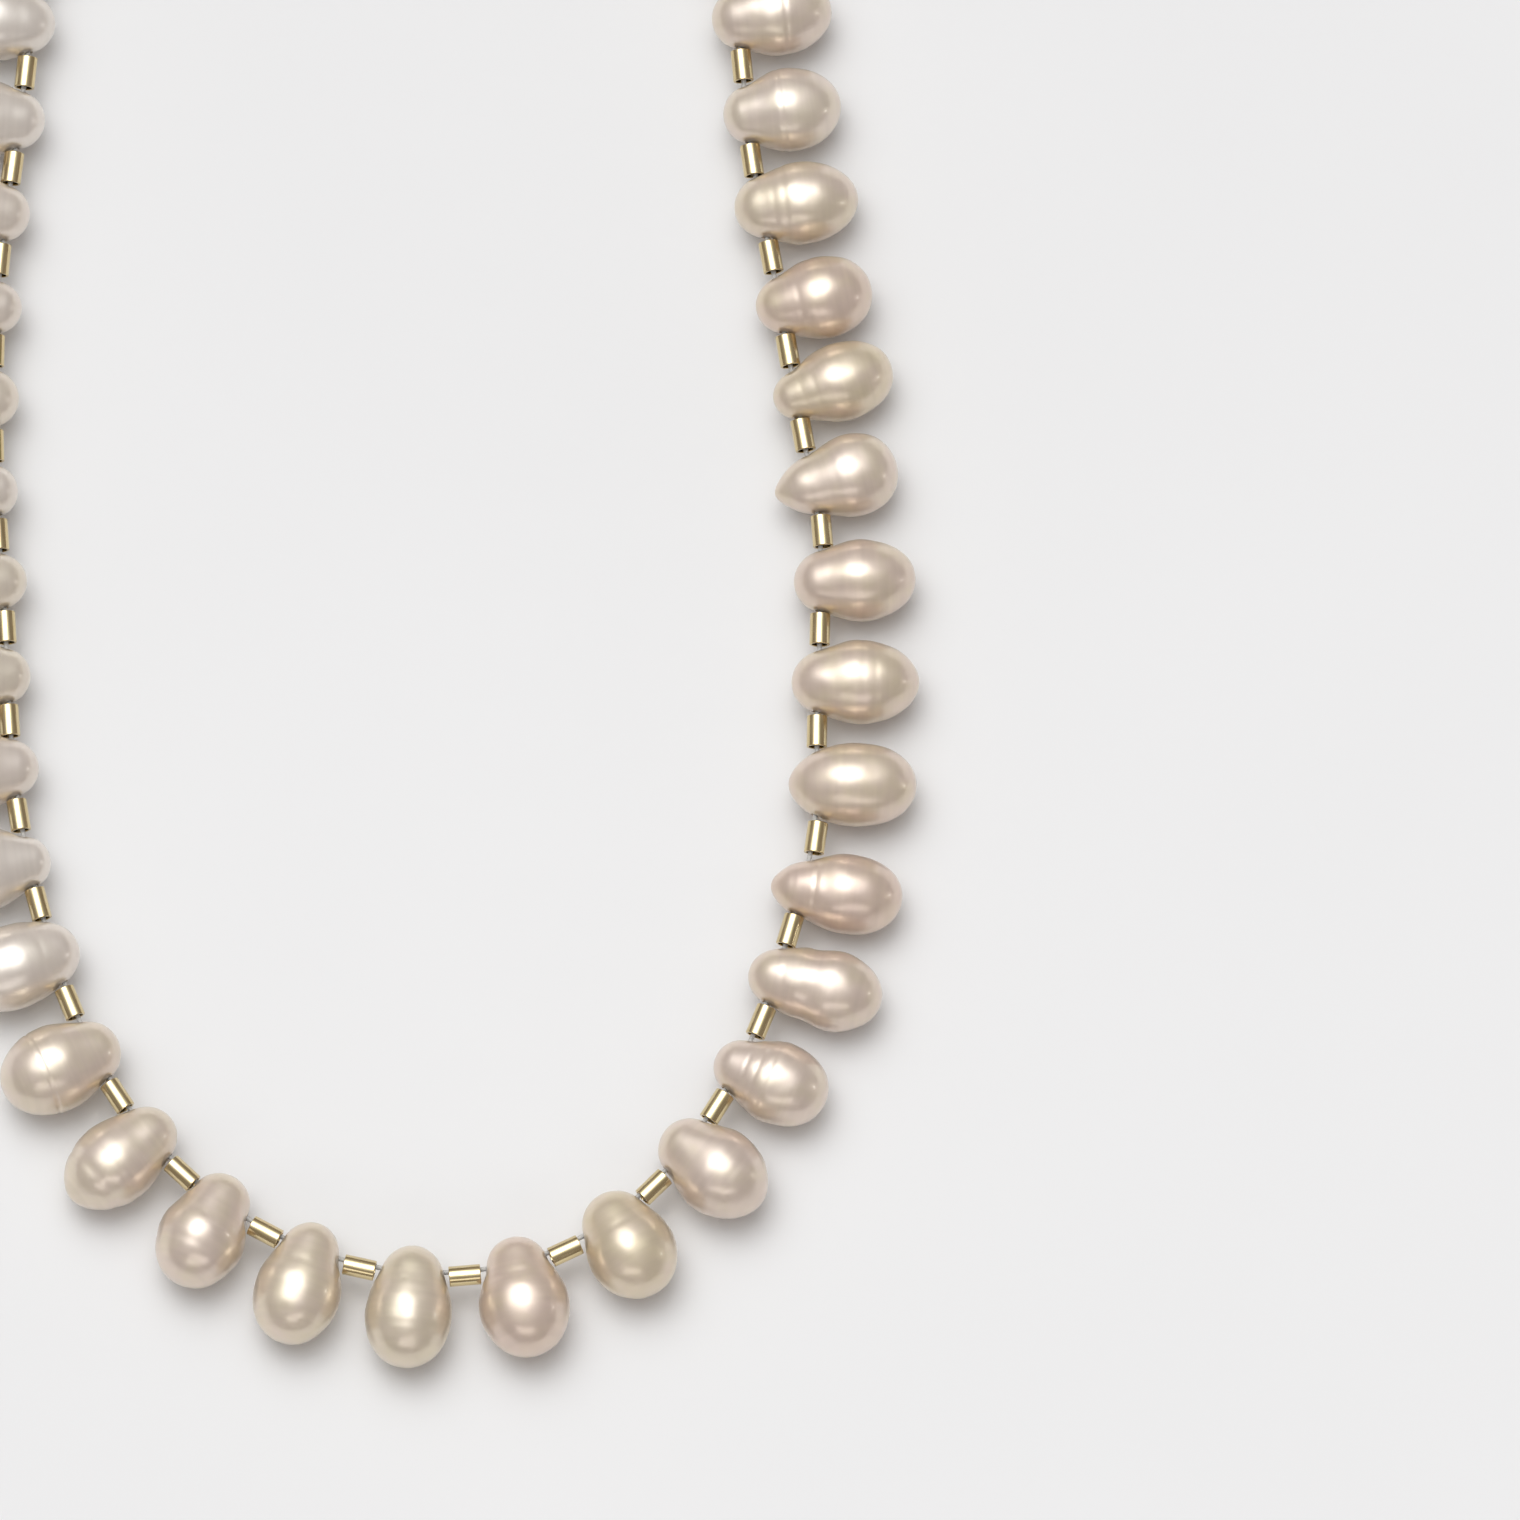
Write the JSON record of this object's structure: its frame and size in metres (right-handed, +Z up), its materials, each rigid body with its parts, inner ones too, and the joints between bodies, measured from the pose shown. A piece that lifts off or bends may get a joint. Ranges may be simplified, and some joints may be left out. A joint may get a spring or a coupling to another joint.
{
  "type": "pearl necklace",
  "caption": "Short necklace of top-drilled rice pearls with a plain gold tube bead between each two, closed by a lobster clasp.",
  "frame": {"origin": "middle of the necklace's footprint, on the surface that it lies on", "axes": "+Z up, +Y from the front of the strand to the clasp, +X to the right seen from above"},
  "size_m": [0.1028, 0.1804, 0.009],
  "materials": {
    "pearl": "gloss",
    "gold": "polished",
    "thread": "matte",
    "spring_steel": "satin"
  },
  "bodies": {
    "front_section": {"tube_beads_front": "gold", "thread": "thread"},
    "side_section_1": {"tube_beads_side_1": "gold"},
    "side_section_2": {"tube_beads_side_2": "gold"},
    "side_section_3": {"tube_beads_side_3": "gold"},
    "side_section_4": {"tube_beads_side_4": "gold"},
    "side_section_5": {"tube_beads_side_5": "gold"},
    "side_section_6": {"tube_beads_side_6": "gold"},
    "back_section": {"tube_beads_back": "gold", "bead_tip_left": "gold", "bead_tip_right": "gold", "crimp_tubes": "gold"},
    "clasp": {"clasp_body": "gold", "clasp_rivet": "gold", "clasp_spring": "spring_steel", "jump_ring": "gold", "end_ring": "gold"},
    "clasp_lever": {"clasp_lever": "gold"},
    "pearl_01": {"pearl_01": "pearl"},
    "pearl_02": {"pearl_02": "pearl"},
    "pearl_03": {"pearl_03": "pearl"},
    "pearl_04": {"pearl_04": "pearl"},
    "pearl_05": {"pearl_05": "pearl"},
    "pearl_06": {"pearl_06": "pearl"},
    "pearl_07": {"pearl_07": "pearl"},
    "pearl_08": {"pearl_08": "pearl"},
    "pearl_09": {"pearl_09": "pearl"},
    "pearl_10": {"pearl_10": "pearl"},
    "pearl_11": {"pearl_11": "pearl"},
    "pearl_12": {"pearl_12": "pearl"},
    "pearl_13": {"pearl_13": "pearl"},
    "pearl_14": {"pearl_14": "pearl"},
    "pearl_15": {"pearl_15": "pearl"},
    "pearl_16": {"pearl_16": "pearl"},
    "pearl_17": {"pearl_17": "pearl"},
    "pearl_18": {"pearl_18": "pearl"},
    "pearl_19": {"pearl_19": "pearl"},
    "pearl_20": {"pearl_20": "pearl"},
    "pearl_21": {"pearl_21": "pearl"},
    "pearl_22": {"pearl_22": "pearl"},
    "pearl_23": {"pearl_23": "pearl"},
    "pearl_24": {"pearl_24": "pearl"},
    "pearl_25": {"pearl_25": "pearl"},
    "pearl_26": {"pearl_26": "pearl"},
    "pearl_27": {"pearl_27": "pearl"},
    "pearl_28": {"pearl_28": "pearl"},
    "pearl_29": {"pearl_29": "pearl"},
    "pearl_30": {"pearl_30": "pearl"},
    "pearl_31": {"pearl_31": "pearl"},
    "pearl_32": {"pearl_32": "pearl"},
    "pearl_33": {"pearl_33": "pearl"},
    "pearl_34": {"pearl_34": "pearl"},
    "pearl_35": {"pearl_35": "pearl"},
    "pearl_36": {"pearl_36": "pearl"},
    "pearl_37": {"pearl_37": "pearl"},
    "pearl_38": {"pearl_38": "pearl"},
    "pearl_39": {"pearl_39": "pearl"}
  },
  "joints": [
    {"name": "fold_1", "type": "hinge", "parent": "front_section", "child": "side_section_1", "pos_m": [0.00109, -0.05561, 0.00424], "axis": [0.9996, -0.0281, 0], "range_deg": [-14, 14], "deforming": ["thread"]},
    {"name": "fold_2", "type": "hinge", "parent": "side_section_1", "child": "side_section_2", "pos_m": [0.00126, -0.03671, 0.00424], "axis": [0.9996, -0.0291, 0], "range_deg": [-10, 10], "deforming": ["thread"]},
    {"name": "fold_3", "type": "hinge", "parent": "side_section_2", "child": "side_section_3", "pos_m": [0.00077, -0.01638, 0.00424], "axis": [1, -0.0025, 0], "range_deg": [-14, 14], "deforming": ["thread"]},
    {"name": "fold_4", "type": "hinge", "parent": "side_section_3", "child": "side_section_4", "pos_m": [-0.00058, 0.00298, 0.00424], "axis": [0.9999, 0.0139, 0], "range_deg": [-14, 14], "deforming": ["thread"]},
    {"name": "fold_5", "type": "hinge", "parent": "side_section_4", "child": "side_section_5", "pos_m": [-0.00203, 0.02178, 0.00424], "axis": [1, 0.0041, 0], "range_deg": [-14, 14], "deforming": ["thread"]},
    {"name": "fold_6", "type": "hinge", "parent": "side_section_5", "child": "side_section_6", "pos_m": [-0.00232, 0.04138, 0.00424], "axis": [1, 0.0096, 0], "range_deg": [-14, 14], "deforming": ["thread"]},
    {"name": "fold_7", "type": "hinge", "parent": "side_section_6", "child": "back_section", "pos_m": [-0.00231, 0.0611, 0.00424], "axis": [1, 0.0046, 0], "range_deg": [-14, 14], "deforming": ["thread"]},
    {"name": "clasp_lever_pivot", "type": "hinge", "parent": "clasp", "child": "clasp_lever", "pos_m": [-0.00431, 0.08759, 0.00224], "axis": [0, 0, -1], "range_deg": [0, 12], "stiffness_Nm_per_rad": 0.0002, "springref_deg": -11.46, "deforming": ["clasp_spring"]},
    {"name": "clasp_roll", "type": "hinge", "parent": "back_section", "child": "clasp", "pos_m": [-0.00201, 0.08684, 0.00224], "axis": [1, 0, 0], "range_deg": [-30, 10]},
    {"name": "pearl_01_swing", "type": "hinge", "parent": "back_section", "child": "pearl_01", "pos_m": [0.01385, 0.08166, 0.00349], "axis": [0.856, -0.5058, 0.107], "range_deg": [-110, 110]},
    {"name": "pearl_02_swing", "type": "hinge", "parent": "back_section", "child": "pearl_02", "pos_m": [0.02183, 0.0752, 0.00414], "axis": [0.6769, -0.7358, 0.0196], "range_deg": [-110, 110]},
    {"name": "pearl_03_swing", "type": "hinge", "parent": "back_section", "child": "pearl_03", "pos_m": [0.02759, 0.06719, 0.00424], "axis": [0.4831, -0.8756, 0], "range_deg": [-110, 110]},
    {"name": "pearl_04_swing", "type": "hinge", "parent": "side_section_6", "child": "pearl_04", "pos_m": [0.03138, 0.05811, 0.00424], "axis": [0.2827, -0.9592, 0], "range_deg": [-110, 110]},
    {"name": "pearl_05_swing", "type": "hinge", "parent": "side_section_6", "child": "pearl_05", "pos_m": [0.03325, 0.04829, 0.00424], "axis": [0.0905, -0.9959, 0], "range_deg": [-110, 110]},
    {"name": "pearl_06_swing", "type": "hinge", "parent": "side_section_5", "child": "pearl_06", "pos_m": [0.03421, 0.03835, 0.00424], "axis": [0.1015, -0.9948, 0], "range_deg": [-110, 110]},
    {"name": "pearl_07_swing", "type": "hinge", "parent": "side_section_5", "child": "pearl_07", "pos_m": [0.03561, 0.02878, 0.00424], "axis": [0.1867, -0.9824, 0], "continuous": true},
    {"name": "pearl_08_swing", "type": "hinge", "parent": "side_section_4", "child": "pearl_08", "pos_m": [0.03748, 0.01858, 0.00424], "axis": [0.1726, -0.985, 0], "continuous": true},
    {"name": "pearl_09_swing", "type": "hinge", "parent": "side_section_4", "child": "pearl_09", "pos_m": [0.03909, 0.00929, 0.00424], "axis": [0.1699, -0.9855, 0], "continuous": true},
    {"name": "pearl_10_swing", "type": "hinge", "parent": "side_section_3", "child": "pearl_10", "pos_m": [0.04078, 0.0001, 0.00424], "axis": [0.1885, -0.9821, 0], "continuous": true},
    {"name": "pearl_11_swing", "type": "hinge", "parent": "side_section_3", "child": "pearl_11", "pos_m": [0.04159, -0.00988, 0.00424], "axis": [-0.0198, -0.9998, 0], "continuous": true},
    {"name": "pearl_12_swing", "type": "hinge", "parent": "side_section_2", "child": "pearl_12", "pos_m": [0.04133, -0.02019, 0.00424], "axis": [-0.0286, -0.9996, 0], "continuous": true},
    {"name": "pearl_13_swing", "type": "hinge", "parent": "side_section_2", "child": "pearl_13", "pos_m": [0.04114, -0.03065, 0.00424], "axis": [-0.0092, -1, 0], "continuous": true},
    {"name": "pearl_14_swing", "type": "hinge", "parent": "side_section_1", "child": "pearl_14", "pos_m": [0.03966, -0.04137, 0.00424], "axis": [-0.264, -0.9645, 0], "range_deg": [-110, 110]},
    {"name": "pearl_15_swing", "type": "hinge", "parent": "side_section_1", "child": "pearl_15", "pos_m": [0.03701, -0.0504, 0.00424], "axis": [-0.2977, -0.9547, 0], "range_deg": [-110, 110]},
    {"name": "pearl_16_swing", "type": "hinge", "parent": "front_section", "child": "pearl_16", "pos_m": [0.03328, -0.05953, 0.00424], "axis": [-0.4513, -0.8924, 0], "range_deg": [-110, 110]},
    {"name": "pearl_17_swing", "type": "hinge", "parent": "front_section", "child": "pearl_17", "pos_m": [0.02805, -0.06774, 0.00424], "axis": [-0.6092, -0.793, 0], "range_deg": [-110, 110]},
    {"name": "pearl_18_swing", "type": "hinge", "parent": "front_section", "child": "pearl_18", "pos_m": [0.02074, -0.07492, 0.00424], "axis": [-0.8044, -0.5941, 0], "range_deg": [-110, 110]},
    {"name": "pearl_19_swing", "type": "hinge", "parent": "front_section", "child": "pearl_19", "pos_m": [0.01125, -0.07957, 0.00424], "axis": [-0.9701, -0.2425, 0], "range_deg": [-110, 110]},
    {"name": "pearl_20_swing", "type": "hinge", "parent": "front_section", "child": "pearl_20", "pos_m": [0.00089, -0.08046, 0.00424], "axis": [-0.9971, 0.076, 0], "range_deg": [-110, 110]},
    {"name": "pearl_21_swing", "type": "hinge", "parent": "front_section", "child": "pearl_21", "pos_m": [-0.00928, -0.07819, 0.00424], "axis": [-0.9339, 0.3576, 0], "range_deg": [-110, 110]},
    {"name": "pearl_22_swing", "type": "hinge", "parent": "front_section", "child": "pearl_22", "pos_m": [-0.01825, -0.07325, 0.00424], "axis": [-0.8104, 0.5858, 0], "range_deg": [-110, 110]},
    {"name": "pearl_23_swing", "type": "hinge", "parent": "front_section", "child": "pearl_23", "pos_m": [-0.02537, -0.0665, 0.00424], "axis": [-0.6354, 0.7722, 0], "range_deg": [-110, 110]},
    {"name": "pearl_24_swing", "type": "hinge", "parent": "front_section", "child": "pearl_24", "pos_m": [-0.03092, -0.05799, 0.00424], "axis": [-0.451, 0.8925, 0], "range_deg": [-110, 110]},
    {"name": "pearl_25_swing", "type": "hinge", "parent": "side_section_1", "child": "pearl_25", "pos_m": [-0.03504, -0.04793, 0.00424], "axis": [-0.302, 0.9533, 0], "range_deg": [-110, 110]},
    {"name": "pearl_26_swing", "type": "hinge", "parent": "side_section_1", "child": "pearl_26", "pos_m": [-0.03756, -0.03866, 0.00424], "axis": [-0.2147, 0.9767, 0], "range_deg": [-90, 90]},
    {"name": "pearl_27_swing", "type": "hinge", "parent": "side_section_2", "child": "pearl_27", "pos_m": [-0.03911, -0.02899, 0.00424], "axis": [-0.1025, 0.9947, 0], "range_deg": [-90, 90]},
    {"name": "pearl_28_swing", "type": "hinge", "parent": "side_section_2", "child": "pearl_28", "pos_m": [-0.0398, -0.01954, 0.00424], "axis": [-0.0416, 0.9991, 0], "continuous": true},
    {"name": "pearl_29_swing", "type": "hinge", "parent": "side_section_3", "child": "pearl_29", "pos_m": [-0.04041, -0.0098, 0.00424], "axis": [-0.0839, 0.9965, 0], "continuous": true},
    {"name": "pearl_30_swing", "type": "hinge", "parent": "side_section_3", "child": "pearl_30", "pos_m": [-0.04106, -0.00049, 0.00424], "axis": [-0.0543, 0.9985, 0], "continuous": true},
    {"name": "pearl_31_swing", "type": "hinge", "parent": "side_section_4", "child": "pearl_31", "pos_m": [-0.04131, 0.00904, 0.00424], "axis": [0, 1, 0], "continuous": true},
    {"name": "pearl_32_swing", "type": "hinge", "parent": "side_section_4", "child": "pearl_32", "pos_m": [-0.04107, 0.0184, 0.00424], "axis": [0.0531, 0.9986, 0], "continuous": true},
    {"name": "pearl_33_swing", "type": "hinge", "parent": "side_section_5", "child": "pearl_33", "pos_m": [-0.04021, 0.02811, 0.00424], "axis": [0.1253, 0.9921, 0], "continuous": true},
    {"name": "pearl_34_swing", "type": "hinge", "parent": "side_section_5", "child": "pearl_34", "pos_m": [-0.03896, 0.0378, 0.00424], "axis": [0.1302, 0.9915, 0], "continuous": true},
    {"name": "pearl_35_swing", "type": "hinge", "parent": "side_section_6", "child": "pearl_35", "pos_m": [-0.03786, 0.04781, 0.00424], "axis": [0.0879, 0.9961, 0], "range_deg": [-110, 110]},
    {"name": "pearl_36_swing", "type": "hinge", "parent": "side_section_6", "child": "pearl_36", "pos_m": [-0.03607, 0.05755, 0.00424], "axis": [0.28, 0.96, 0], "range_deg": [-110, 110]},
    {"name": "pearl_37_swing", "type": "hinge", "parent": "back_section", "child": "pearl_37", "pos_m": [-0.03221, 0.06694, 0.00424], "axis": [0.4789, 0.8779, 0], "range_deg": [-110, 110]},
    {"name": "pearl_38_swing", "type": "hinge", "parent": "back_section", "child": "pearl_38", "pos_m": [-0.02644, 0.07517, 0.00414], "axis": [0.6605, 0.7506, -0.02], "range_deg": [-110, 110]},
    {"name": "pearl_39_swing", "type": "hinge", "parent": "back_section", "child": "pearl_39", "pos_m": [-0.01903, 0.08156, 0.00349], "axis": [0.8331, 0.542, -0.1104], "range_deg": [-110, 110]}
  ]
}
